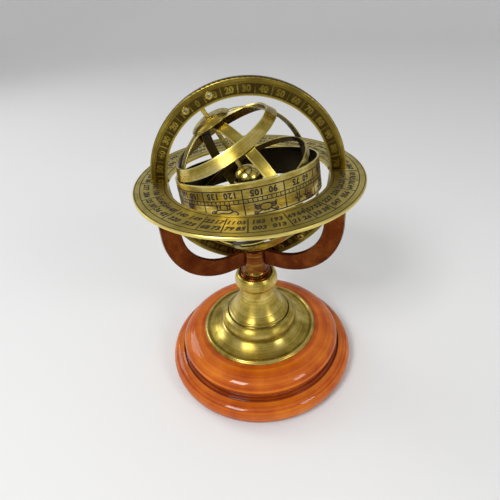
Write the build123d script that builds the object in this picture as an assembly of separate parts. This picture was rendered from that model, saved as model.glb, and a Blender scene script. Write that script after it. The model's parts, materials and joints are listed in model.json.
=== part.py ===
from build123d import *
import math
import os

# Armillary sphere on a turned wooden base, in millimetres.
# +Z is up, the origin is on the floor under the centre of the base.
# The meridian ring stands in the XZ plane, and its graduated front face looks towards -Y.
# Heights are stacked from the floor up, and the rings nest inwards from the meridian ring.

# Clearances
braze_gap = 0.05
nest_gap = 0.05
press_gap = 0.02
running_gap = 0.05
slot_gap = 0.25
cup_gap = 0.4

# Felt and wooden base
felt_thickness = 1.0
felt_margin = 1.0
base_edge_round = 7.6
base_step_width = 10.6
base_step_rise = 2.0
base_waist_cut = 2.4
base_waist_bead = 0.8
base_upper_height = 13.4
base_shoulder_round = 1.1
base_crown_width = 13.6
base_crown_drop = 1.2
base_top_margin = 3.8
base_groove_radius = 0.9
base_groove_inset = 2.2
tie_hole_radius = 3.0
recess_radius = 10.5
recess_depth = 9.0

# Tie screw and washer
screw_radius = 2.48
screw_head_radius = 4.5
screw_head_height = 4.6
screw_socket_radius = 2.0
screw_socket_depth = 2.6
screw_grip = 9.0
washer_radius = 8.5
washer_thickness = 1.2

# Bell foot, turned brass
foot_radius = 43.2
foot_rim_width = 2.6
foot_rim_height = 2.6
foot_dish_height = 6.6
foot_dish_hollow = 1.1
foot_ring_radius = 28.2
foot_ring_height = 9.6
foot_bead_depth = 0.8
foot_bell_radius = 22.8
foot_bell_lip = 2.2
foot_bell_hollow = 2.4
foot_bell_height = 23.8
foot_neck_radius = 12.6

# Collar between the foot and the arm hub
collar_belly = 2.6
collar_height = 11.4
collar_lip_width = 1.4
collar_cup_depth = 3.0

# Arm hub
hub_radius = 8.9
hub_bead_radius = 11.6
hub_bead_height = 3.6
hub_bead_round = 1.4
hub_ring_step = 1.0
hub_ring_radius = 10.0
hub_ring_height = 2.4
hub_skirt_height = 12.8
hub_edge_break = 0.5
meridian_proud = 1.0

# Arms, with the direction that each one points in
arm_azimuths = {"arm_rear": 90.0, "arm_left": 210.0, "arm_right": 330.0}
arm_thickness = 3.0
arm_width = 12.0
arm_inset = 0.5
arm_bend_radius = 43.0
arm_foot_depth = 1.4
arm_edge_break = 0.35

# Meridian ring, two riveted plies
meridian_radius = 59.5
meridian_width = 9.8
ply_thickness = 2.0
ply_outer_round = 0.8
ply_border_outer = 1.4
ply_border_inner = 1.2
cell_depth = 0.4
cell_count = 36
cell_rib = 0.7
polar_tilt = 27.5
rivet_inset = 5.0
rivet_spread = 8.1
rivet_hole_radius = 1.5
rivet_wall = 0.55
rivet_flange_width = 0.6
rivet_flange_height = 0.7
rivet_rim_round = 0.3
rivet_pad_margin = 0.4

# Horizon ring
horizon_margin = 10.5
horizon_inner_step = 0.7
horizon_thickness = 2.0
horizon_edge_break = 0.4
centre_drop = 3.0

# Polar rod and the ball of the earth
rod_radius = 1.3
rod_end_play = 0.3
rod_tip_break = 0.2
journal_radius = 1.0
journal_depth = 6.0
ball_radius = 9.0

# Bands of the celestial sphere
sphere_gap = 7.4
sphere_spin = 27.0
strip_thickness = 0.9
strip_edge_round = 0.2
colure_width = 6.4
equator_width = 3.6
tropic_edge_latitude = 37.7
tropic_cone_angle = 32.0
tropic_width = 6.8
tropic_thickness = 1.1
ecliptic_tilt = 24.5
zodiac_gap_angle = 0.8
zodiac_thickness = 1.15

# Polar caps
cap_radius = 12.2
cap_height = 3.8
cap_thickness = 1.0
cap_rim_height = 0.6


def corner_radius(radius, width):
    """How far from the centre the corners of a flat strip lie, when it is bent to a radius."""
    return math.hypot(radius, width / 2)


# Radii, from the meridian ring inwards
meridian_thickness = 2 * ply_thickness
meridian_inner_radius = meridian_radius - meridian_width
rivet_circle_radius = meridian_radius - rivet_inset
rivet_flange_radius = rivet_hole_radius + rivet_flange_width
horizon_radius = meridian_radius + horizon_margin
horizon_inner_radius = meridian_inner_radius - horizon_inner_step
colure_radius = meridian_inner_radius - sphere_gap
colure_seat = colure_radius - strip_thickness
inner_colure_radius = math.sqrt(colure_seat ** 2 - (colure_width / 2) ** 2) - nest_gap
equator_seat = inner_colure_radius - strip_thickness
equator_radius = math.sqrt(equator_seat ** 2 - (equator_width / 2) ** 2) - nest_gap
outer_seat = corner_radius(colure_radius, colure_width) + nest_gap
zodiac_edge_angle = math.radians(tropic_edge_latitude - ecliptic_tilt - zodiac_gap_angle)
zodiac_height = 2 * outer_seat * math.tan(zodiac_edge_angle)

# Radii of the stand
arm_outer_reach = horizon_inner_radius + arm_inset + arm_width
base_top_flat_radius = foot_radius + base_top_margin
base_upper_radius = base_top_flat_radius + base_crown_width
base_waist_radius = base_upper_radius - base_waist_cut
base_radius = base_upper_radius + base_step_width
base_inset_radius = base_radius - base_edge_round
collar_cup_radius = hub_bead_radius + cup_gap
collar_lip_radius = collar_cup_radius + collar_lip_width

# Heights, from the floor up
base_bottom = felt_thickness
base_step = base_bottom + 2 * base_edge_round
base_waist = base_step + base_step_rise
base_top = base_waist + base_upper_height
foot_top = base_top + foot_dish_height + foot_ring_height + foot_bell_height
collar_top = foot_top + collar_height
hub_bottom = collar_top - collar_cup_depth
arm_bottom = hub_bottom + hub_skirt_height
hub_top = arm_bottom + arm_width
centre_height = hub_top + meridian_proud - meridian_width + meridian_radius
horizon_height = centre_height + centre_drop
horizon_bottom = horizon_height - horizon_thickness

# Frames: local Z is the polar axis in the sphere's frame, and local Y is in the meridian's
tilt = math.radians(polar_tilt)
spin = math.radians(sphere_spin)
polar_axis = Vector(-math.sin(tilt), 0, math.cos(tilt))
across_axis = Vector(math.cos(tilt), 0, math.sin(tilt))
solstice_axis = across_axis * math.cos(spin) + Vector(0, math.sin(spin), 0)
sphere_frame = Plane(origin=(0, 0, centre_height), x_dir=solstice_axis, z_dir=polar_axis)
meridian_frame = Plane(origin=(0, 0, centre_height), x_dir=across_axis, z_dir=(0, -1, 0))


def point(radius, height):
    return Vector(radius, 0, height)


def bulge(start, end, height):
    """Arc whose middle stands off its chord, to the right of the way from start to end."""
    chord = end - start
    normal = Vector(chord.Z, 0, -chord.X).normalized()
    return ThreePointArc(start, (start + end) * 0.5 + normal * height, end)


def turned(profile):
    """Solid turned about Z from a closed profile of (radius, height, swell) corners.

    The swell bends the run to the next corner, and 0 leaves it straight. The corners go
    outwards along the bottom and up the outside, where a swell above 0 stands outwards.
    """
    edges = []
    for index, (radius, height, swell) in enumerate(profile):
        start = point(radius, height)
        end = point(*profile[(index + 1) % len(profile)][:2])
        edges.append(bulge(start, end, swell) if swell else Line(start, end))
    return revolve(make_face(edges), Axis.Z, 360)


def tube(outer_radius, inner_radius, height, low):
    """Flat ring that starts at the height low."""
    ring = Cylinder(outer_radius, height) - Cylinder(inner_radius, height)
    return Pos(0, 0, low + height / 2) * ring


def strip(radius, width, thickness):
    """Flat strip bent into a hoop about Z, with its sharp edges broken."""
    hoop = tube(radius, radius - thickness, width, -width / 2)
    return fillet(hoop.edges().filter_by(GeomType.CIRCLE), strip_edge_round)


def felt_pad():
    pad_radius = base_inset_radius - felt_margin
    return Pos(0, 0, felt_thickness / 2) * Cylinder(pad_radius, felt_thickness)


def wooden_base():
    body = turned([
        (tie_hole_radius, base_bottom, 0),
        (base_inset_radius, base_bottom, base_edge_round),
        (base_inset_radius, base_step, 0),
        (base_waist_radius + base_waist_bead, base_waist - base_waist_bead, -0.5),
        (base_waist_radius, base_waist, 0.4),
        (base_upper_radius, base_waist + base_upper_height * 0.42, base_shoulder_round),
        (base_top_flat_radius + base_crown_width * 0.44, base_top - base_crown_drop, 0.5),
        (base_top_flat_radius, base_top, 0),
        (tie_hole_radius, base_top, 0),
    ])
    recess = Pos(0, 0, base_bottom + recess_depth / 2) * Cylinder(recess_radius, recess_depth)
    groove = Pos(0, 0, base_step) * Torus(base_inset_radius - base_groove_inset, base_groove_radius)
    return body - recess - groove


def tie_washer():
    seat = base_bottom + recess_depth
    return tube(washer_radius, tie_hole_radius, washer_thickness, seat - washer_thickness)


def tie_screw():
    seat = base_bottom + recess_depth - washer_thickness
    end = hub_bottom + screw_grip
    head_bottom = seat - screw_head_height
    shank = Pos(0, 0, (seat + end) / 2) * Cylinder(screw_radius, end - seat)
    head = Pos(0, 0, head_bottom + screw_head_height / 2) * Cylinder(screw_head_radius, screw_head_height)
    hexagon = Pos(0, 0, head_bottom) * RegularPolygon(screw_socket_radius, 6)
    return shank + head - extrude(hexagon, screw_socket_depth)


def bell_foot():
    rim_inner = foot_radius - foot_rim_width
    rim_high = base_top + foot_rim_height
    ring_low = base_top + foot_dish_height
    ring_high = ring_low + foot_ring_height
    return turned([
        (tie_hole_radius, base_top, 0),
        (foot_radius, base_top, 0.35),
        (foot_radius - 0.5, rim_high - 0.8, 0.75),
        (rim_inner, rim_high - 0.4, -0.25),
        (rim_inner - 0.8, rim_high - 1.0, -foot_dish_hollow),
        (foot_ring_radius + 0.9, ring_low, 0),
        (foot_ring_radius, ring_low + 0.4, 0),
        (foot_ring_radius, ring_low + 1.2, 1.9),
        (foot_bell_radius + foot_bead_depth, ring_high - 0.2, 0),
        (foot_bell_radius, ring_high - foot_bead_depth, 0),
        (foot_bell_radius - 0.6, ring_high - 0.2, 0),
        (foot_bell_radius - 0.1, ring_high + 0.8, 0.45),
        (foot_bell_radius - 1.6, ring_high + foot_bell_lip, -foot_bell_hollow),
        (foot_neck_radius, foot_top, 0),
        (tie_hole_radius, foot_top, 0),
    ])


def foot_collar():
    belly_radius = foot_neck_radius + collar_belly
    cup_floor = collar_top - collar_cup_depth
    return turned([
        (tie_hole_radius, foot_top, 0),
        (foot_neck_radius - 0.4, foot_top, 0),
        (foot_neck_radius + 0.3, foot_top + 0.8, 0),
        (foot_neck_radius + 0.6, foot_top + 1.6, 0.9),
        (belly_radius, foot_top + collar_height / 2, 0.7),
        (collar_lip_radius, collar_top, 0.3),
        (collar_cup_radius, collar_top, 0),
        (collar_cup_radius, cup_floor, 0),
        (tie_hole_radius, cup_floor, 0),
    ])


def arm_profile(gap):
    """Side view of an arm in the XZ plane, let deeper into the hub by a gap."""
    bend_centre = point(arm_outer_reach - arm_bend_radius, arm_bottom + arm_bend_radius)
    inner_reach = arm_outer_reach - arm_width
    foot = hub_radius - arm_foot_depth - gap
    low_run = Polyline(
        point(bend_centre.X, arm_bottom),
        point(foot, arm_bottom),
        point(foot, hub_top),
        point(bend_centre.X, hub_top),
    )
    high_run = Polyline(
        point(inner_reach, bend_centre.Z),
        point(inner_reach, horizon_bottom),
        point(arm_outer_reach, horizon_bottom),
        point(arm_outer_reach, bend_centre.Z),
    )
    halfway = point(math.sqrt(0.5), -math.sqrt(0.5))
    inner_middle = bend_centre + halfway * (arm_bend_radius - arm_width)
    outer_middle = bend_centre + halfway * arm_bend_radius
    inner_bend = ThreePointArc(low_run @ 1, inner_middle, high_run @ 0)
    outer_bend = ThreePointArc(high_run @ 1, outer_middle, low_run @ 0)
    return make_face([low_run, inner_bend, high_run, outer_bend])


def arm(azimuth):
    """Flat curved arm, soldered under the horizon ring and into its slot in the hub."""
    plate = extrude(arm_profile(0), arm_thickness / 2, both=True)
    plate = chamfer(plate.edges().filter_by(GeomType.CIRCLE), arm_edge_break)
    return Rot(0, 0, azimuth) * plate


def arm_hub():
    bead_core = hub_bead_radius - hub_bead_round
    ring_core = hub_ring_radius - 0.5
    ring_low = hub_bottom + hub_bead_height + hub_ring_step
    ring_high = ring_low + hub_ring_height
    body = turned([
        (0, hub_bottom, 0),
        (bead_core, hub_bottom, hub_bead_round),
        (bead_core, hub_bottom + hub_bead_height, -0.5),
        (ring_core, ring_low, 0.5),
        (ring_core, ring_high, -0.3),
        (hub_radius, ring_high + 1.0, 0),
        (hub_radius, hub_top - hub_edge_break, 0),
        (hub_radius - hub_edge_break, hub_top, 0),
        (0, hub_top, 0),
    ])
    tapped_depth = screw_grip + 1.0
    body -= Pos(0, 0, hub_bottom + tapped_depth / 2) * Cylinder(screw_radius + press_gap, tapped_depth)
    slot = extrude(arm_profile(braze_gap), arm_thickness / 2 + braze_gap, both=True)
    for azimuth in arm_azimuths.values():
        body -= Rot(0, 0, azimuth) * slot
    channel = Cylinder(meridian_radius + slot_gap, meridian_thickness + 2 * slot_gap)
    return body - Pos(0, 0, centre_height) * Rot(90, 0, 0) * channel


def horizon_ring():
    """Flat ring with two notches, open to its middle, that hold the meridian upright."""
    ring = tube(horizon_radius, horizon_inner_radius, horizon_thickness, horizon_bottom)
    ring = chamfer(ring.edges().filter_by(GeomType.CIRCLE), horizon_edge_break)
    reach = meridian_radius + slot_gap
    notch = Box(2 * reach, meridian_thickness + 2 * slot_gap, 2 * horizon_thickness)
    return ring - Pos(0, 0, horizon_bottom + horizon_thickness / 2) * notch


def rivet_places():
    places = []
    for pole in (90, 270):
        for side in (-rivet_spread, rivet_spread):
            angle = math.radians(pole + side)
            places.append((rivet_circle_radius * math.cos(angle), rivet_circle_radius * math.sin(angle)))
    return places


def scale_cells():
    """Sunken cells of the scale, with a rib between each two and a pad round each rivet."""
    outer = meridian_radius - ply_border_outer
    inner = meridian_inner_radius + ply_border_inner
    cells = tube(outer, inner, cell_depth, ply_thickness - cell_depth)
    middle_height = ply_thickness - cell_depth / 2
    rib = Pos((outer + inner) / 2, 0, middle_height) * Box(meridian_width, cell_rib, cell_depth)
    for index in range(cell_count):
        turn = 90 + (index + 0.5) * 360.0 / cell_count
        cells -= Rot(0, 0, turn) * rib
    pad = Cylinder(rivet_flange_radius + rivet_pad_margin, cell_depth)
    for x, y in rivet_places():
        cells -= Pos(x, y, middle_height) * pad
    return cells


def meridian_ply():
    """Half of the meridian ring, from the parting plane at local Z = 0 to its face."""
    ring = tube(meridian_radius, meridian_inner_radius, ply_thickness, 0)
    face_edges = ring.edges().filter_by(GeomType.CIRCLE).group_by(Axis.Z)[-1]
    ring = fillet(face_edges.sort_by(SortBy.RADIUS)[-1], ply_outer_round)
    ring -= scale_cells()
    for x, y in rivet_places():
        ring -= Pos(x, y, ply_thickness / 2) * Cylinder(rivet_hole_radius, ply_thickness)
    bore = Rot(90, 0, 0) * Cylinder(journal_radius + running_gap, journal_depth + 2 * rod_end_play)
    for side in (1, -1):
        ring -= Pos(0, side * (meridian_inner_radius + journal_depth / 2), 0) * bore
    return ring


def pivot_rivets():
    """Four tubular rivets through both plies, two beside each pivot."""
    reach = ply_thickness + rivet_flange_height
    eyelet = Cylinder(rivet_hole_radius - press_gap, 2 * reach)
    flange = Cylinder(rivet_flange_radius, rivet_flange_height)
    for side in (1, -1):
        eyelet += Pos(0, 0, side * (reach - rivet_flange_height / 2)) * flange
    rims = eyelet.edges().filter_by(GeomType.CIRCLE).group_by(Axis.Z)
    eyelet = fillet(rims[0] + rims[-1], rivet_rim_round)
    eyelet -= Cylinder(rivet_hole_radius - rivet_wall, 3 * reach)
    return [meridian_frame.location * Pos(x, y, 0) * eyelet for x, y in rivet_places()]


def polar_rod():
    shoulder = meridian_inner_radius - rod_end_play
    tip = shoulder + journal_depth
    rod = Cylinder(rod_radius, 2 * shoulder) + Cylinder(journal_radius, 2 * tip)
    ends = rod.edges().filter_by(GeomType.CIRCLE).group_by(Axis.Z)
    return chamfer(ends[0] + ends[-1], rod_tip_break)


def earth_ball():
    return Sphere(ball_radius) - Cylinder(rod_radius + press_gap, 3 * ball_radius)


def polar_cap():
    """Domed cap over the crossing of the colures, in the sphere's frame."""
    bore = rod_radius + press_gap
    rim_inner = cap_radius - cap_thickness
    rim_low = math.sqrt(outer_seat ** 2 - rim_inner ** 2)
    crown = rim_low + cap_height
    return turned([
        (bore, crown - cap_thickness, 0),
        (cap_radius * 0.46, crown - cap_thickness - cap_height * 0.12, -0.5),
        (rim_inner, rim_low, 0),
        (cap_radius, rim_low, 0.1),
        (cap_radius, rim_low + cap_rim_height, 0.55),
        (cap_radius * 0.52, crown - cap_height * 0.1, 0.3),
        (bore + 1.2, crown, 0),
        (bore, crown, 0),
    ])


def colure(radius, turn):
    """Hoop through both poles, drilled for the rod."""
    hole = Cylinder(rod_radius + press_gap, 3 * radius)
    return turn * strip(radius, colure_width, strip_thickness) - hole


def tropic_ring():
    """Conical strip whose lower inner edge rests on the colures, in the sphere's frame."""
    cone = math.radians(tropic_cone_angle)
    latitude = math.radians(tropic_edge_latitude)
    up_the_cone = point(-math.sin(cone), math.cos(cone))
    outward = point(math.cos(cone), math.sin(cone))
    inner_low = point(math.cos(latitude), math.sin(latitude)) * outer_seat
    outer_low = inner_low + outward * tropic_thickness
    outer_high = outer_low + up_the_cone * tropic_width
    inner_high = inner_low + up_the_cone * tropic_width
    corners = [inner_low, outer_low, outer_high, inner_high]
    return turned([(corner.X, corner.Z, 0) for corner in corners])


def zodiac_band():
    band = tube(outer_seat + zodiac_thickness, outer_seat, zodiac_height, -zodiac_height / 2)
    band = fillet(band.edges().filter_by(GeomType.CIRCLE), strip_edge_round)
    return Rot(0, ecliptic_tilt, 0) * band


def save(name, shape):
    """Write a piece, or a group of like pieces, as one STEP file."""
    solids = shape if isinstance(shape, list) else [shape]
    result = Compound(children=solids) if len(solids) > 1 else solids[0]
    result.label = name
    export_step(result, os.path.join("parts", name + ".step"))


def save_stand():
    save("felt_pad", felt_pad())
    save("wooden_base", wooden_base())
    save("tie_washer", tie_washer())
    save("tie_screw", tie_screw())
    save("bell_foot", bell_foot())
    save("foot_collar", foot_collar())
    save("arm_hub", arm_hub())
    for name, azimuth in arm_azimuths.items():
        save(name, arm(azimuth))
    save("horizon_ring", horizon_ring())


def save_meridian():
    ply = meridian_ply()
    save("meridian_front_ply", meridian_frame.location * ply)
    save("meridian_back_ply", meridian_frame.location * Rot(0, 180, 0) * ply)
    save("pivot_rivets", pivot_rivets())


def save_sphere():
    cap = polar_cap()
    tropic = tropic_ring()
    other_pole = Rot(180, 0, 0)
    pieces = {
        "polar_rod": polar_rod(),
        "earth_ball": earth_ball(),
        "north_cap": cap,
        "south_cap": other_pole * cap,
        "solstitial_colure": colure(colure_radius, Rot(90, 0, 0)),
        "equinoctial_colure": colure(inner_colure_radius, Rot(0, 90, 0)),
        "equator_ring": strip(equator_radius, equator_width, strip_thickness),
        "north_tropic_ring": tropic,
        "south_tropic_ring": other_pole * tropic,
        "zodiac_band": zodiac_band(),
    }
    for name, piece in pieces.items():
        save(name, sphere_frame.location * piece)


os.makedirs("parts", exist_ok=True)
save_stand()
save_meridian()
save_sphere()
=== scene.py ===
import json
import math

import bmesh
import bpy
from mathutils import Matrix, Vector


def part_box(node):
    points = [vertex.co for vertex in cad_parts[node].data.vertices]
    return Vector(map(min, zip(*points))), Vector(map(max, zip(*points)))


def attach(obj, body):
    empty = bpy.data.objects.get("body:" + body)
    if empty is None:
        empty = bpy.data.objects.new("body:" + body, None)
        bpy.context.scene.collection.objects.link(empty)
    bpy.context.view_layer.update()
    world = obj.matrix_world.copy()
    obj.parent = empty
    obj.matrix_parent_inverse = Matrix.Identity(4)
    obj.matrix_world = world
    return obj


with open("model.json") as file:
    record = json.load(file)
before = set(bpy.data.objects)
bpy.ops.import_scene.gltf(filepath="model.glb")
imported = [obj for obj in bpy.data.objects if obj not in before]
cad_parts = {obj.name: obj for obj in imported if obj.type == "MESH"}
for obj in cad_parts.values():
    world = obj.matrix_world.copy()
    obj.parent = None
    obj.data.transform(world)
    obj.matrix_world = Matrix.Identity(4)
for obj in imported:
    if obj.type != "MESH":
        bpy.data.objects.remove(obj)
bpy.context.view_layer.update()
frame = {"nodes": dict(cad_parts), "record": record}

nodes = frame["nodes"]
joints = {joint["name"]: joint for joint in frame["record"]["behaviour"]["joints"]}
MM = 0.001

# Places taken from the frame
CENTRE = Vector(joints["meridian_turn"]["pos_m"])
POLE = Vector(joints["sphere_spin"]["axis"]).normalized()
HORIZON_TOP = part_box("horizon_ring")[1][2]
MERIDIAN_HALF = abs(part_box("meridian_front_ply")[0][1])

# Directions of the inner sphere: equator, colures and ecliptic
UP = Vector((0, 0, 1))
ACROSS = Vector((0, 1, 0))
EQUATOR_EAST = ACROSS.cross(POLE).normalized()
COLURE_TURN = math.radians(27.0)
ECLIPTIC_TILT = math.radians(24.5)
SUMMER = EQUATOR_EAST * math.cos(COLURE_TURN) + ACROSS * math.sin(COLURE_TURN)
SPRING = POLE.cross(SUMMER)
ECLIPTIC_POLE = POLE * math.cos(ECLIPTIC_TILT) + SUMMER * math.sin(ECLIPTIC_TILT)
ECLIPTIC_START = SUMMER * math.cos(ECLIPTIC_TILT) - POLE * math.sin(ECLIPTIC_TILT)


# Materials

class Shade:
    """One node material, with helpers that give output sockets."""

    def __init__(self, name):
        self.material = bpy.data.materials.new(name)
        self.material.use_nodes = True
        self.tree = self.material.node_tree
        self.shader = self.tree.nodes["Principled BSDF"]
        coordinates = self.tree.nodes.new("ShaderNodeTexCoord")
        self.place = coordinates.outputs["Object"]
        self.normal = coordinates.outputs["Normal"]

    def feed(self, socket, value):
        if isinstance(value, bpy.types.NodeSocket):
            self.tree.links.new(value, socket)
        elif value is not None:
            socket.default_value = value

    def set(self, **values):
        """Constants or sockets for the shader, by input name with _ for a space."""
        for name, value in values.items():
            self.feed(self.shader.inputs[name.replace("_", " ")], value)

    def node(self, kind, *values, **settings):
        made = self.tree.nodes.new(kind)
        for key, value in settings.items():
            setattr(made, key, value)
        for socket, value in zip(made.inputs, values):
            self.feed(socket, value)
        return made

    def math(self, operation, first, second=None):
        return self.node("ShaderNodeMath", first, second, operation=operation).outputs[0]

    def vector(self, operation, first, second=None):
        made = self.node("ShaderNodeVectorMath", first, second, operation=operation)
        scalar = operation in ("DOT_PRODUCT", "LENGTH")
        return made.outputs["Value"] if scalar else made.outputs["Vector"]

    def noise(self, place, scale, detail=4.0, rough=0.55):
        made = self.node("ShaderNodeTexNoise", place)
        made.inputs["Scale"].default_value = scale
        made.inputs["Detail"].default_value = detail
        made.inputs["Roughness"].default_value = rough
        return made.outputs["Fac"]

    def blend(self, first, second, share):
        """share of the first value and the rest of the second."""
        return self.math("ADD", self.math("MULTIPLY", first, share),
                         self.math("MULTIPLY", second, 1 - share))

    def ramp(self, value, stops):
        made = self.node("ShaderNodeValToRGB", value)
        while len(made.color_ramp.elements) < len(stops):
            made.color_ramp.elements.new(0.5)
        for element, (position, colour) in zip(made.color_ramp.elements, stops):
            element.position = position
            element.color = (*colour, 1)
        return made.outputs["Color"]

    def span(self, value, low, high, start=0.0, end=1.0):
        """start at or below low, end at or above high."""
        return self.node("ShaderNodeMapRange", value, low, high, start, end).outputs[0]

    def mix(self, factor, first, second):
        colours = [(*c, 1) if isinstance(c, tuple) else c for c in (first, second)]
        return self.node("ShaderNodeMixRGB", factor, *colours).outputs[0]

    def cylinder(self, centre, axis):
        """Height along an axis, distance from it, and the direction away from it."""
        offset = self.vector("SUBTRACT", self.place, centre)
        height = self.vector("DOT_PRODUCT", offset, axis)
        along = self.node("ShaderNodeVectorMath", axis, operation="SCALE")
        self.feed(along.inputs["Scale"], height)
        away = self.vector("SUBTRACT", offset, along.outputs["Vector"])
        return height, self.vector("LENGTH", away), self.vector("NORMALIZE", away)

    def lathe_lines(self, height, radius, scale, detail, rough):
        """Noise that runs round the axis, as a lathe or a brush leaves it."""
        place = self.node("ShaderNodeCombineXYZ", radius, height).outputs[0]
        return self.noise(place, scale, detail, rough)

    def crevice_shade(self, distance, strength):
        """Painted shade: strength where the same part closes in on the surface, 0 in the open."""
        made = self.node("ShaderNodeAmbientOcclusion", only_local=True, samples=6)
        made.inputs["Distance"].default_value = distance
        closed = self.span(made.outputs["AO"], 0.45, 0.95, start=1.0, end=0.0)
        return self.math("MULTIPLY", closed, strength)

    def bump(self, height, distance, strength):
        made = self.tree.nodes.new("ShaderNodeBump")
        made.inputs["Distance"].default_value = distance
        made.inputs["Strength"].default_value = strength
        self.feed(made.inputs["Height"], height)
        self.set(Normal=made.outputs["Normal"])


def offsets(name):
    """Every vertex of a node, from the centre of the sphere."""
    return [vertex.co - CENTRE for vertex in nodes[name].data.vertices]


def heights(name, axis):
    """Lowest and highest place of a node along an axis through the centre."""
    found = [offset.dot(axis) for offset in offsets(name)]
    return min(found), max(found)


def radii(name, axis):
    """Nearest and farthest distance of a node from an axis through the centre."""
    found = [(offset - axis * offset.dot(axis)).length for offset in offsets(name)]
    return min(found), max(found)


def darkened(colour, share):
    return tuple(channel * share for channel in colour)


QUARTER_TURN = 0.25


def brass(name, tones, roughness=0.3, axis=UP, rim_heights=(), rim_radii=(), rim_width=0.8 * MM,
          inside=None, crevice_shade=0.0, sunk=None, brushed=0.45, spun=0.0):
    """Toned brass, brushed round its axis, with rims lighter from wear and painted highlight, and painted
    shade in grooves and on inner faces; sunk faces are darker.

    tones: dark, middle and light colour. inside: painted shade colour for faces turned to the axis.
    crevice: reach of the painted shade in grooves. sunk: height of a face, below which it is dark.
    brushed: share of the brush lines in the tone. spun: anisotropy of a turned part about Z.
    """
    dark, middle, light = tones
    shade = Shade(name)
    height, radius, away = shade.cylinder(CENTRE, axis)
    lines = shade.lathe_lines(height, radius, scale=1100.0, detail=3.0, rough=0.7)
    cloud = shade.noise(shade.place, scale=75.0, detail=4.0, rough=0.6)
    tone = shade.blend(lines, cloud, share=brushed)
    colour = shade.ramp(tone, [(0.36, dark), (0.5, middle), (0.64, light)])
    if spun:
        tangent = shade.node("ShaderNodeTangent", direction_type="RADIAL", axis="Z")
        shade.set(Anisotropic=spun, Anisotropic_Rotation=QUARTER_TURN, Tangent=tangent.outputs[0])
    # Rims lighter from wear and painted highlight
    wear_and_highlight = tuple(min(0.9, channel * 1.2) for channel in light)
    rims = [(height, value) for value in rim_heights] + [(radius, value) for value in rim_radii]
    for along, value in rims:
        distance = shade.math("ABSOLUTE", shade.math("SUBTRACT", along, value))
        rim_wear_and_highlight = shade.span(distance, 0.3 * rim_width, rim_width, start=0.7, end=0.0)
        colour = shade.mix(rim_wear_and_highlight, colour, wear_and_highlight)
    if sunk:
        depth = shade.math("ABSOLUTE", height)
        below = shade.span(depth, sunk - 0.2 * MM, sunk - 0.05 * MM, start=0.85, end=0.0)
        colour = shade.mix(below, colour, dark)
    # Painted shade where the part closes in on itself, in grooves and hollows
    if crevice_shade:
        shaded_hollow = shade.crevice_shade(crevice_shade, strength=0.9)
        colour = shade.mix(shaded_hollow, colour, darkened(dark, 0.35))
    # Painted shade on the faces turned to the axis
    if inside:
        facing = shade.vector("DOT_PRODUCT", shade.normal, away)
        inner_face_shade = shade.span(facing, -0.7, -0.4, start=1.0, end=0.0)
        colour = shade.mix(inner_face_shade, colour, inside)
    shine = shade.span(tone, 0.35, 0.65, start=roughness + 0.1, end=roughness - 0.06)
    shade.set(Base_Color=colour, Metallic=1.0, Roughness=shine)
    shade.bump(lines, distance=0.02 * MM, strength=0.5)
    return shade.material


def strip_brass(name, axis, tones, inside, roughness=0.28):
    """Brass for a bent strip, lighter along its two edges from wear and painted highlight, with painted
    shade on its inner face.
    """
    edges = heights(name, axis)
    return brass(name, tones, roughness, axis, rim_heights=edges, inside=inside, brushed=0.3)


def varnished_wood(name):
    """Turned wood under gloss varnish: streaks round the axis, with painted shade in the grooves and on
    the lowest part of the foot.
    """
    shade = Shade(name)
    height, radius, _ = shade.cylinder(Vector((0, 0, 0)), UP)
    rings = shade.lathe_lines(height, radius, scale=330.0, detail=4.0, rough=0.65)
    wave = shade.noise(shade.place, scale=38.0, detail=4.0, rough=0.6)
    tone = shade.blend(rings, wave, share=0.6)
    red_brown, orange, amber = (0.2, 0.022, 0.001), (0.47, 0.08, 0.003), (0.74, 0.2, 0.012)
    groove_shade_brown, foot_shade_brown = (0.13, 0.01, 0.001), (0.14, 0.012, 0.001)
    colour = shade.ramp(tone, [(0.36, red_brown), (0.48, orange), (0.64, amber)])
    # Painted shade in the grooves and on the lowest few millimetres of the base
    colour = shade.mix(shade.crevice_shade(6 * MM, strength=0.8), colour, groove_shade_brown)
    low_shade = shade.span(height, 1 * MM, 9 * MM, start=0.75, end=0.0)
    colour = shade.mix(low_shade, colour, foot_shade_brown)
    shade.set(Base_Color=colour, Roughness=0.5, Specular_IOR_Level=0.05, Coat_Weight=0.6,
              Coat_Roughness=0.06)
    shade.bump(rings, distance=0.06 * MM, strength=0.4)
    return shade.material


def plain(name, colour, roughness, metallic=0.0, grain=700.0):
    """One colour with a fine grain in its shade and its surface."""
    shade = Shade(name)
    cloud = shade.noise(shade.place, grain)
    mottled = shade.ramp(cloud, [(0.35, darkened(colour, 0.6)), (0.65, colour)])
    shade.set(Base_Color=mottled, Roughness=roughness, Metallic=metallic)
    shade.bump(cloud, distance=0.05 * MM, strength=0.4)
    return shade.material


# Dark, middle and light tone of each kind of brass
OLIVE = ((0.17, 0.118, 0.016), (0.42, 0.32, 0.055), (0.68, 0.55, 0.16))
GOLD = ((0.2, 0.135, 0.02), (0.53, 0.395, 0.075), (0.84, 0.69, 0.25))
SATIN = ((0.36, 0.28, 0.055), (0.54, 0.43, 0.095), (0.7, 0.58, 0.18))
BROWN = ((0.05, 0.032, 0.006), (0.16, 0.11, 0.022), (0.3, 0.22, 0.05))
COPPER = ((0.075, 0.013, 0.003), (0.12, 0.026, 0.005), (0.19, 0.052, 0.01))
SHADOW = (0.02, 0.015, 0.007)

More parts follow.
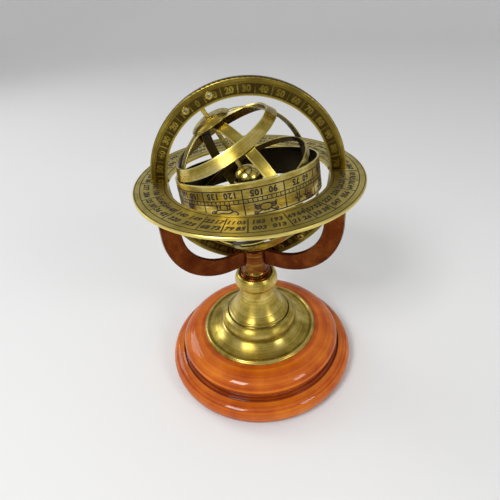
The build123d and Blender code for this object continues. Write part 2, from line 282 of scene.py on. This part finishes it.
patina = plain("patina", (0.02, 0.013, 0.004), roughness=0.6, grain=1500.0)
raised_brass = brass("raised_brass", (BROWN[2], OLIVE[0], OLIVE[1]), roughness=0.38, axis=ACROSS)
border_brass = brass("border_brass", (BROWN[1], OLIVE[0], OLIVE[1]), roughness=0.3, axis=ACROSS)
meridian_brass = brass("meridian_brass", (BROWN[0], BROWN[1], OLIVE[1]), roughness=0.34, axis=ACROSS,
                       rim_radii=radii("meridian_front_ply", ACROSS), rim_width=1.1 * MM,
                       sunk=MERIDIAN_HALF)
horizon_brass = brass("horizon_brass", SATIN, roughness=0.34, rim_radii=radii("horizon_ring", UP),
                      brushed=0.3, spun=0.5)
turned_brass = brass("turned_brass", GOLD, roughness=0.3, crevice_shade=5 * MM, spun=0.75)
hub_brass = brass("hub_brass", (COPPER[1], COPPER[2], OLIVE[1]), roughness=0.25, crevice_shade=4 * MM,
                  spun=0.6)
arm_brass = brass("arm_brass", COPPER, roughness=0.26, brushed=0.3)
cap_brass = brass("cap_brass", (BROWN[1], OLIVE[1], GOLD[2]), roughness=0.26, axis=POLE,
                  crevice_shade=4 * MM)
rivet_brass = brass("rivet_brass", (BROWN[1], OLIVE[1], GOLD[2]), roughness=0.25, axis=ACROSS,
                    crevice_shade=1.5 * MM)
ball_brass = brass("ball_brass", (OLIVE[1], GOLD[1], GOLD[2]), roughness=0.2, axis=POLE)
steel = plain("steel", (0.5, 0.5, 0.5), roughness=0.35, metallic=1.0)

finishes = {
    "wooden_base": varnished_wood("varnished_wood"),
    "felt_pad": plain("felt", (0.02, 0.045, 0.03), roughness=0.95),
    "tie_screw": steel,
    "tie_washer": steel,
    "bell_foot": turned_brass,
    "foot_collar": turned_brass,
    "arm_hub": hub_brass,
    "arm_rear": arm_brass,
    "arm_left": arm_brass,
    "arm_right": arm_brass,
    "horizon_ring": horizon_brass,
    "meridian_front_ply": meridian_brass,
    "meridian_back_ply": meridian_brass,
    "pivot_rivets": rivet_brass,
    "polar_rod": turned_brass,
    "earth_ball": ball_brass,
    "north_cap": cap_brass,
    "south_cap": cap_brass,
    # The colour after the tones of each strip is the painted shade on its inner face
    "solstitial_colure": strip_brass("solstitial_colure", SPRING, OLIVE, BROWN[0]),
    "equinoctial_colure": strip_brass("equinoctial_colure", SUMMER, OLIVE, BROWN[0]),
    "equator_ring": strip_brass("equator_ring", POLE, OLIVE, BROWN[0]),
    "north_tropic_ring": strip_brass("north_tropic_ring", POLE, GOLD, BROWN[1], roughness=0.25),
    "south_tropic_ring": strip_brass("south_tropic_ring", POLE, GOLD, BROWN[1], roughness=0.25),
    "zodiac_band": strip_brass("zodiac_band", ECLIPTIC_POLE, GOLD, SHADOW),
}
for name, node in nodes.items():
    node.data.materials.clear()
    node.data.materials.append(finishes[name])


# Marks: thin closed plates laid on a surface, in millimetres

MARK_FOOT = -0.06
MARK_TOP = 0.03
DOT_SIDES = 14
CURVE_STEPS = 4


def make_glyph(character):
    """The points and faces of one bold character, 1 high, between z 0 and 1."""
    curve = bpy.data.curves.new("glyph", "FONT")
    curve.body = character
    curve.align_x = "CENTER"
    curve.resolution_u = 3
    curve.extrude = 0.5
    curve.offset = 0.055
    holder = bpy.data.objects.new("glyph", curve)
    bpy.context.collection.objects.link(holder)
    bpy.context.view_layer.update()
    mesh = bpy.data.meshes.new_from_object(holder)
    tall = max(vertex.co.y for vertex in mesh.vertices)
    points = [Vector((vertex.co.x / tall, vertex.co.y / tall, vertex.co.z + 0.5))
              for vertex in mesh.vertices]
    faces = [tuple(polygon.vertices) for polygon in mesh.polygons]
    bpy.data.objects.remove(holder)
    bpy.data.curves.remove(curve)
    bpy.data.meshes.remove(mesh)
    return points, faces


GLYPHS = {digit: make_glyph(digit) for digit in "0123456789"}


def curved(points, closed):
    """A smooth line through a few points."""
    count = len(points)

    def point(index):
        inside = index % count if closed else min(max(index, 0), count - 1)
        return Vector(points[inside])

    line = []
    for index in range(count if closed else count - 1):
        a, b, c, d = (point(index + shift) for shift in (-1, 0, 1, 2))
        for step in range(CURVE_STEPS):
            t = step / CURVE_STEPS
            square = (2 * a - 5 * b + 4 * c - d) * t ** 2
            cube = (3 * b - a - 3 * c + d) * t ** 3
            line.append(0.5 * (2 * b + (c - a) * t + square + cube))
    if not closed:
        line.append(point(count - 1))
    return line


def circle(radius, steps):
    turns = [2 * math.pi * step / steps for step in range(steps)]
    return [(radius * math.cos(turn), radius * math.sin(turn)) for turn in turns]


def turned(angle, mirror=1):
    """A rule that turns steps to the right and up by an angle. mirror -1 swaps right and left."""
    cosine, sine = math.cos(angle), math.sin(angle)
    return lambda right, up: (mirror * right * cosine - up * sine, mirror * right * sine + up * cosine)


class Marks:
    """Marks gathered into one mesh. lay turns (x, y, lift) into a place in the frame."""

    def __init__(self, lay, foot=MARK_FOOT, top=MARK_TOP):
        self.mesh = bmesh.new()
        self.lay = lay
        self.foot = foot
        self.top = top

    def point(self, x, y, on_top):
        return self.mesh.verts.new(self.lay(x, y, self.top if on_top else self.foot))

    def ribbon(self, points, width, closed=False):
        """A band of one width along a line of points."""
        points = [Vector(point) for point in points]
        count = len(points)
        corners = []
        for index, point in enumerate(points):
            before = points[index - 1] if index or closed else point
            after = points[(index + 1) % count] if index < count - 1 or closed else point
            along = (after - before).normalized()
            side = Vector((-along.y, along.x)) * width / 2
            left, right = point + side, point - side
            places = ((left, False), (right, False), (right, True), (left, True))
            corners.append([self.point(place.x, place.y, on_top) for place, on_top in places])
        for index in range(count if closed else count - 1):
            here, there = corners[index], corners[(index + 1) % count]
            for edge in range(4):
                following = (edge + 1) % 4
                self.mesh.faces.new((here[edge], here[following], there[following], there[edge]))
        if not closed:
            self.mesh.faces.new(corners[0][::-1])
            self.mesh.faces.new(corners[-1])

    def dot(self, x, y, radius, stretch):
        """A round plate, stretched along x."""
        foot, top = [[self.point(x + stretch * across, y + along, on_top)
                      for across, along in circle(radius, DOT_SIDES)] for on_top in (False, True)]
        self.mesh.faces.new(foot[::-1])
        self.mesh.faces.new(top)
        for side in range(DOT_SIDES):
            following = (side + 1) % DOT_SIDES
            self.mesh.faces.new((foot[side], foot[following], top[following], top[side]))

    def number(self, text, x, y, height, pitch, turn, slant=0.0):
        """Digits centred on x, y. turn is a rule from turned()."""
        for index, character in enumerate(text):
            if character not in GLYPHS:
                continue
            points, faces = GLYPHS[character]
            start = (index - (len(text) - 1) / 2) * pitch
            placed = []
            for point in points:
                up = (point.y - 0.5) * height
                right = start + point.x * height + up * slant
                step_x, step_y = turn(right, up)
                placed.append(self.point(x + step_x, y + step_y, point.z > 0.5))
            for face in faces:
                self.mesh.faces.new([placed[corner] for corner in face])

    def finish(self, name, body, material):
        """The gathered marks as one piece that rides on a body."""
        bmesh.ops.remove_doubles(self.mesh, verts=self.mesh.verts, dist=0.00001 * MM)
        bmesh.ops.recalc_face_normals(self.mesh, faces=self.mesh.faces)
        data = bpy.data.meshes.new(name)
        self.mesh.to_mesh(data)
        self.mesh.free()
        data.materials.append(material)
        piece = bpy.data.objects.new(name, data)
        bpy.context.collection.objects.link(piece)
        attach(piece, body)


# Horizon markings: x and y are the frame's own. Azimuth is in degrees from the front.

HORIZON_CIRCLES = ((65.8, 0.55), (69.0, 0.4))
INNER_CIRCLE = 51.4
INNER_CIRCLE_WIDTH = 0.5
NOTCH_AZIMUTH = 90.0
NOTCH_GAP = 4.0
NOTCH_REACH = 4.5
NOTCH_CLEARANCE = 5.6
WIDE_CELL, NARROW_CELL, LAST_CELL = 20.0, 11.6, 14.4
FIRST_DIVIDER = -174.85
DIVIDER_FOOT, DIVIDER_FOOT_AT_NOTCH, DIVIDER_END = 52.5, 61.2, 65.8
DIVIDER_WIDTH = 0.75
NUMBER_SHARES = (0.27, 0.73)
OUTER_ROW, INNER_ROW = 61.7, 56.1
HORIZON_DIGIT, HORIZON_PITCH, HORIZON_SLANT = 3.3, 2.4, 0.2


def lay_horizon(x, y, lift):
    return Vector((x, y, HORIZON_TOP / MM + lift)) * MM


def on_horizon(azimuth, radius):
    angle = math.radians(azimuth)
    return radius * math.sin(angle), -radius * math.cos(angle)


def horizon_arc(start, end, radius, step=3.0):
    count = round((end - start) / step)
    return [on_horizon(start + (end - start) * index / count, radius) for index in range(count + 1)]


def cell_numbers(azimuth, wide):
    """Outer and inner number of half a cell: heading and its opposite, or bearing and the rest of 90."""
    heading = round(azimuth) % 360
    if wide:
        return f"{heading:03d}", f"{(heading + 180) % 360:03d}"
    bearing = heading % 90
    return f"{bearing:02d}", f"{90 - bearing:02d}"


def make_horizon_markings():
    """Fine circles, dividers and two rows of numbers, with gaps at the meridian's notches."""
    marks = Marks(lay_horizon)
    for radius, width in HORIZON_CIRCLES:
        marks.ribbon(horizon_arc(0, 360, radius)[:-1], width, closed=True)
    for start in (-NOTCH_AZIMUTH, NOTCH_AZIMUTH):
        half_circle = horizon_arc(start + NOTCH_GAP, start + 180 - NOTCH_GAP, INNER_CIRCLE)
        marks.ribbon(half_circle, INNER_CIRCLE_WIDTH)
    azimuth = FIRST_DIVIDER
    for cell in [WIDE_CELL, NARROW_CELL, NARROW_CELL] * 8 + [LAST_CELL]:
        at_notch = abs(abs(azimuth) - NOTCH_AZIMUTH) < NOTCH_REACH
        foot = DIVIDER_FOOT_AT_NOTCH if at_notch else DIVIDER_FOOT
        marks.ribbon([on_horizon(azimuth, foot), on_horizon(azimuth, DIVIDER_END)], DIVIDER_WIDTH)
        for share in NUMBER_SHARES:
            middle = azimuth + cell * share
            numbers = cell_numbers(middle, wide=cell == WIDE_CELL)
            for text, radius in zip(numbers, (OUTER_ROW, INNER_ROW)):
                x, y = on_horizon(middle, radius)
                if radius == INNER_ROW and abs(y) < NOTCH_CLEARANCE:
                    continue
                turn = turned(math.radians(middle))
                marks.number(text, x, y, HORIZON_DIGIT, HORIZON_PITCH, turn, HORIZON_SLANT)
        azimuth += cell
    marks.finish("horizon_markings", "stand", patina)


# Meridian scale: x runs along the equator and y along the pole, from the centre

SCALE_FOOT = -0.46
NUMERAL_TOP = -0.03
NUMERAL_RADIUS = 53.75
NUMERAL_HEIGHT, NUMERAL_PITCH = 3.5, 2.45
RIVET_RADIUS = 54.5
RIVET_AZIMUTHS = (81.9, 98.1, 261.9, 278.1)
RIVET_CLEARANCE = 2.9
BORDER_TOP = 0.02
BORDER_RADIUS, BORDER_WIDTH = 57.2, 2.0
BORDER_SIDES = 120


def polar(angle, radius):
    return Vector((radius * math.cos(angle), radius * math.sin(angle)))


def make_meridian_scale(name, side):
    """Raised numerals in the sunk cells, and the broad border round them. side: -1 front, 1 back."""

    def lay(x, y, lift):
        outward = ACROSS * side * (MERIDIAN_HALF / MM + lift)
        return CENTRE + (EQUATOR_EAST * x + POLE * y + outward) * MM

    numerals = Marks(lay, SCALE_FOOT, NUMERAL_TOP)
    rivets = [polar(math.radians(azimuth), RIVET_RADIUS) for azimuth in RIVET_AZIMUTHS]
    for degrees in range(0, 360, 10):
        text = str(90 - abs(90 - degrees % 180))
        turn = turned(math.radians(-degrees), mirror=-side)
        for index, digit in enumerate(text):
            across = (index - (len(text) - 1) / 2) * NUMERAL_PITCH
            place = Vector(turn(across, NUMERAL_RADIUS))
            if min((place - rivet).length for rivet in rivets) > RIVET_CLEARANCE:
                numerals.number(digit, place.x, place.y, NUMERAL_HEIGHT, NUMERAL_PITCH, turn)
    numerals.finish(f"meridian_numerals_{name}", "meridian", raised_brass)

    border = Marks(lay, SCALE_FOOT, BORDER_TOP)
    border.ribbon(circle(BORDER_RADIUS, BORDER_SIDES), BORDER_WIDTH, closed=True)
    border.finish(f"meridian_border_{name}", "meridian", border_brass)


# Zodiac markings: x is the arc along the ecliptic and y the height on the band

BAND_RADIUS = radii("zodiac_band", ECLIPTIC_POLE)[1] / MM
SIGN_ARC = math.radians(30) * BAND_RADIUS
SIGNS = 12
STEPS_PER_SIGN = 10
FIRST_SIGN = math.radians(-13.8) * BAND_RADIUS
LADDER_HIGH, LADDER_LOW = 0.7, -1.4
ROWS_HIGH, ROWS_LOW = 5.9, -8.4
ROW_LINES = ((ROWS_HIGH, 0.6), (LADDER_HIGH, 0.55), (LADDER_LOW, 0.55), (ROWS_LOW, 0.7))
RUNGS = 9
RUNG_WIDTH = 0.55
SIGN_NUMBER_HEIGHT = 3.3
SIGN_DIGIT, SIGN_PITCH = 3.3, 2.5
FIGURE_HEIGHT = -4.9
FIGURE_WIDEN, FIGURE_STRETCH = 1.3, 1.03
STROKE_WIDTH = 0.72
DOT_STRETCH = 1.2


def lay_zodiac(x, y, lift):
    angle = x / BAND_RADIUS
    outward = ECLIPTIC_START * math.cos(angle) + SPRING * math.sin(angle)
    return CENTRE + (outward * (BAND_RADIUS + lift) + ECLIPTIC_POLE * y) * MM


# Figures: strokes and dots in a cell about 12 wide and 6 high, upright, looking to the right

def line(*points):
    return points, False


def loop(*points):
    return points, True


def leg(x):
    return line((x, -0.9), (x + 0.2, -1.8), (x - 0.1, -2.7), (x + 0.6, -2.8))


def person(x, reach):
    """Two sides of a body and two arms. The head is one of the figure's dots."""
    return [
        line((x, 1.4), (x - 0.7, 0.2), (x - 0.5, -1.0), (x - 0.8, -2.8)),
        line((x, 1.4), (x + 0.7, 0.2), (x + 0.5, -1.0), (x + 0.8, -2.8)),
        line((x - 0.2, 1.2), (x - reach, 0.6), (x - reach - 0.6, 1.5)),
        line((x + 0.2, 1.2), (x + reach, 0.5), (x + reach + 0.6, -0.4)),
    ]


def crab_side(way):
    """Three legs and a claw. way: -1 left, 1 right."""
    legs = [line((2.3 * way, low), (3.6 * way, low + 0.5), (4.6 * way, low - 0.7))
            for low in (0.2, -0.7, -1.6)]
    claw = line((1.8 * way, 1.2), (3.2 * way, 2.4), (4.4 * way, 2.9), (5.2 * way, 2.2))
    thumb = line((3.4 * way, 2.4), (4.3 * way, 1.9), (5.0 * way, 1.7))
    return [*legs, claw, thumb]


def fish(x, y, way):
    tail, gill, back, snout = x - 2.6 * way, x - 1.6 * way, x + 0.2 * way, x + 2.2 * way
    return line((tail, y + 0.9), (gill, y), (back, y + 0.9), (snout, y),
                (back, y - 0.9), (gill, y), (tail, y - 0.9))


def pan(x):
    """One pan of the scales with its cords."""
    cords = line((x - 1.2, -1.0), (x, 1.6), (x + 1.2, -1.0))
    dish = loop((x - 1.4, -1.0), (x, -2.0), (x + 1.4, -1.0))
    return [cords, dish]


TRUNK = loop((-3.6, 0.4), (-1.8, 1.2), (1.0, 0.9), (3.0, 1.3),
             (3.6, 0.2), (2.4, -0.9), (-1.0, -0.8), (-3.2, -0.8))
HEAD = 0.8

ram = [TRUNK, leg(-2.8), leg(-1.8), leg(1.4), leg(2.4),
       line((3.2, 1.0), (4.4, 2.0), (5.4, 1.6), (5.2, 0.7), (4.4, 0.9), (4.6, 1.4))]
bull = [TRUNK, leg(-2.8), leg(-1.8), leg(1.4), leg(2.4),
        line((3.2, 0.8), (4.6, 1.2), (5.4, 0.4)),
        line((4.2, 1.3), (4.2, 2.3), (5.0, 2.7)),
        line((-3.6, 0.3), (-4.8, 1.4), (-5.0, -0.4))]
twins = [*person(-2.6, 1.3), *person(2.4, 1.3)]
crab = [loop((-2.4, 0.2), (-1.4, 1.6), (1.4, 1.6), (2.4, 0.2), (1.5, -1.5), (-1.5, -1.5)),
        *crab_side(-1), *crab_side(1)]
lion = [TRUNK, leg(-3.0), leg(-1.9), leg(1.2), leg(2.6),
        line((-3.6, 0.4), (-5.2, 0.6), (-6.0, 1.8), (-5.0, 2.5)),
        line((3.2, 1.6), (4.2, 2.4), (5.4, 1.8), (5.6, 0.6), (4.6, -0.2), (3.6, 0.2))]
maiden = [*person(0.0, 2.0),
          line((2.2, -0.2), (3.0, 1.2), (2.8, 2.6)),
          line((-0.6, -1.0), (-2.0, -2.8), (2.0, -2.8), (0.6, -1.0))]
scales = [line((0.0, 2.6), (0.0, -2.6)), line((-4.2, 1.6), (0.0, 2.2), (4.2, 1.6)), *pan(-4.2), *pan(4.2)]
scorpion = [loop((-1.6, 0.0), (0.0, 0.9), (1.6, 0.0), (0.0, -0.9)),
            line((-1.6, 0.0), (-3.4, -0.4), (-4.8, 0.8), (-4.2, 2.4), (-3.0, 2.2))]
for way in (1, -1):
    scorpion += [line((1.4, 0.5 * way), (2.8, 1.8 * way), (4.2, 1.4 * way)),
                 line((-0.6, 0.8 * way), (-1.2, 2.2 * way)),
                 line((0.4, 0.8 * way), (0.8, 2.2 * way))]
bow = [line((-1.2, 2.8), (1.6, 1.8), (2.4, 0.0), (1.6, -1.8), (-1.2, -2.8)),
       line((-1.2, 2.8), (-2.6, 0.0), (-1.2, -2.8)),
       line((-5.0, 0.0), (5.0, 0.0)),
       line((3.8, 0.9), (5.2, 0.0), (3.8, -0.9)),
       line((-5.6, 0.8), (-4.6, 0.0), (-5.6, -0.8))]
sea_goat = [TRUNK,
            line((-3.4, 0.2), (-5.0, -0.6), (-5.6, 0.8), (-4.6, 1.6)),
            line((2.2, -0.8), (2.4, -1.8), (3.4, -2.6)),
            line((3.2, 0.9), (4.6, 1.4), (5.4, 0.6)),
            line((4.2, 1.4), (3.6, 2.8), (2.8, 2.8))]
water_bearer = [*person(-2.6, 1.2),
                loop((-0.4, 0.4), (1.0, 1.2), (1.4, 0.0), (0.2, -0.6)),
                line((1.4, 0.4), (2.6, -0.4), (3.6, 0.2), (4.8, -0.8)),
                line((1.2, -0.4), (2.4, -1.4), (3.4, -0.8), (4.8, -2.0))]
fishes = [fish(-2.2, 1.2, 1), fish(2.2, -1.2, -1),
          line((0.0, 1.2), (1.8, 2.0), (2.6, 0.4), (-1.8, -0.4), (0.0, -1.2))]

# Each figure's strokes and its dots, as x, y and radius, in the order of the ecliptic
FIGURES = [
    (ram, [(4.6, 1.6, HEAD)]),
    (bull, [(4.7, 0.7, 0.7)]),
    (twins, [(-2.6, 2.2, HEAD), (2.4, 2.2, HEAD)]),
    (crab, [(-0.7, 2.2, 0.35), (0.7, 2.2, 0.35)]),
    (lion, [(4.5, 1.1, HEAD)]),
    (maiden, [(0.0, 2.2, HEAD), (2.8, 2.4, 0.5)]),
    (scales, []),
    (scorpion, [(-3.0, 2.2, 0.4)]),
    (bow, []),
    (sea_goat, [(4.7, 0.9, 0.7)]),
    (water_bearer, [(-2.6, 2.2, HEAD)]),
    (fishes, [(-1.0, 1.3, 0.3), (1.0, -1.3, 0.3)]),
]


def make_zodiac_markings():
    """Ruled rows, a ladder of short steps, degrees and the twelve old figures, all upside down."""
    marks = Marks(lay_zodiac)
    upside_down = turned(math.pi)
    whole_turn = [step * SIGN_ARC / STEPS_PER_SIGN for step in range(SIGNS * STEPS_PER_SIGN)]
    for height, width in ROW_LINES:
        marks.ribbon([(x, height) for x in whole_turn], width, closed=True)
    for sign, (strokes, dots) in enumerate(FIGURES):
        middle = FIRST_SIGN - sign * SIGN_ARC
        edge = middle + SIGN_ARC / 2
        marks.ribbon([(edge, ROWS_HIGH), (edge, ROWS_LOW)], DIVIDER_WIDTH)
        for rung in range(1, RUNGS):
            x = edge - rung * SIGN_ARC / RUNGS
            marks.ribbon([(x, LADDER_HIGH), (x, LADDER_LOW)], RUNG_WIDTH)
        degrees = f"{30 * sign} {30 * sign + 15}"
        marks.number(degrees, middle, SIGN_NUMBER_HEIGHT, SIGN_DIGIT, SIGN_PITCH, upside_down)
        for points, closed in strokes:
            places = [(middle - point.x * FIGURE_WIDEN, FIGURE_HEIGHT - point.y * FIGURE_STRETCH)
                      for point in curved(points, closed)]
            marks.ribbon(places, STROKE_WIDTH, closed)
        for x, y, radius in dots:
            place_x, place_y = middle - x * FIGURE_WIDEN, FIGURE_HEIGHT - y * FIGURE_STRETCH
            marks.dot(place_x, place_y, radius, DOT_STRETCH)
    marks.finish("zodiac_markings", "inner_sphere", patina)


make_horizon_markings()
make_meridian_scale("front", -1)
make_meridian_scale("back", 1)
make_zodiac_markings()


# Stage, lights and camera

FLOOR_RADIUS = 1.6
FLOOR_RINGS = 6
BEND_RADIUS = 0.9
BEND_RINGS = 12
WALL_TOP = 1.9
STAGE_SIDES = 96


def make_stage():
    """A pale floor that curves up into a round wall, so that no line shows behind the object."""
    profile = [(FLOOR_RADIUS * ring / FLOOR_RINGS, 0.0) for ring in range(1, FLOOR_RINGS + 1)]
    for ring in range(1, BEND_RINGS + 1):
        angle = math.radians(90 * ring / BEND_RINGS)
        profile.append((FLOOR_RADIUS + BEND_RADIUS * math.sin(angle), BEND_RADIUS * (1 - math.cos(angle))))
    profile.append((FLOOR_RADIUS + BEND_RADIUS, WALL_TOP))
    shape = bmesh.new()
    rings = [[shape.verts.new((x, y, height)) for x, y in circle(radius, STAGE_SIDES)]
             for radius, height in profile]
    middle = shape.verts.new((0, 0, 0))
    for side in range(STAGE_SIDES):
        following = (side + 1) % STAGE_SIDES
        shape.faces.new((middle, rings[0][side], rings[0][following]))
        for inner, outer in zip(rings, rings[1:]):
            shape.faces.new((inner[side], outer[side], outer[following], inner[following]))
    data = bpy.data.meshes.new("stage")
    shape.to_mesh(data)
    shape.free()
    data.polygons.foreach_set("use_smooth", [True] * len(data.polygons))
    shade = Shade("stage")
    shade.set(Base_Color=(0.9, 0.9, 0.9, 1), Roughness=0.95, Specular_IOR_Level=0.1)
    data.materials.append(shade.material)
    stage = bpy.data.objects.new("stage", data)
    bpy.context.collection.objects.link(stage)


def make_world(strength):
    world = bpy.data.worlds.new("studio")
    bpy.context.scene.world = world
    world.use_nodes = True
    background = world.node_tree.nodes["Background"]
    background.inputs["Color"].default_value = (1.0, 1.0, 1.0, 1)
    background.inputs["Strength"].default_value = strength


def area_light(name, place, size, power):
    """A square softbox that points at the middle of the sphere."""
    data = bpy.data.lights.new(name, "AREA")
    data.size = size
    data.energy = power
    lamp = bpy.data.objects.new(name, data)
    lamp.location = place
    lamp.rotation_euler = (CENTRE - Vector(place)).to_track_quat("-Z", "Y").to_euler()
    bpy.context.collection.objects.link(lamp)


def make_camera():
    """The photograph's camera, fitted to the rings. Its place is measured from the horizon's top."""
    distance = 246.7 * MM
    elevation = math.radians(24.52)
    roll = math.radians(-4.72)
    lens = 28.53
    aim = Vector((-2.87 * MM, 0.0, -56.67 * MM))
    place = Vector((0.0, -math.cos(elevation), math.sin(elevation))) * distance
    forward = (aim - place).normalized()
    right = forward.cross(UP).normalized()
    up = right.cross(forward)
    rolled_right = right * math.cos(roll) + up * math.sin(roll)
    rolled_up = up * math.cos(roll) - right * math.sin(roll)
    axes = Matrix((rolled_right, rolled_up, -forward)).transposed().to_4x4()
    data = bpy.data.cameras.new("camera")
    data.lens = lens
    data.clip_start = 0.01
    camera = bpy.data.objects.new("camera", data)
    camera.matrix_world = Matrix.Translation(place + Vector((0, 0, HORIZON_TOP))) @ axes
    bpy.context.collection.objects.link(camera)
    bpy.context.scene.camera = camera


make_stage()
make_world(0.44)
area_light("key", (-0.49, -0.62, 0.92), size=0.34, power=6.1)
area_light("fill", (0.72, -0.65, 0.68), size=0.28, power=2.2)
area_light("back", (-1.05, 0.63, 0.82), size=0.56, power=3.6)
make_camera()
bpy.context.scene.view_settings.view_transform = "Standard"
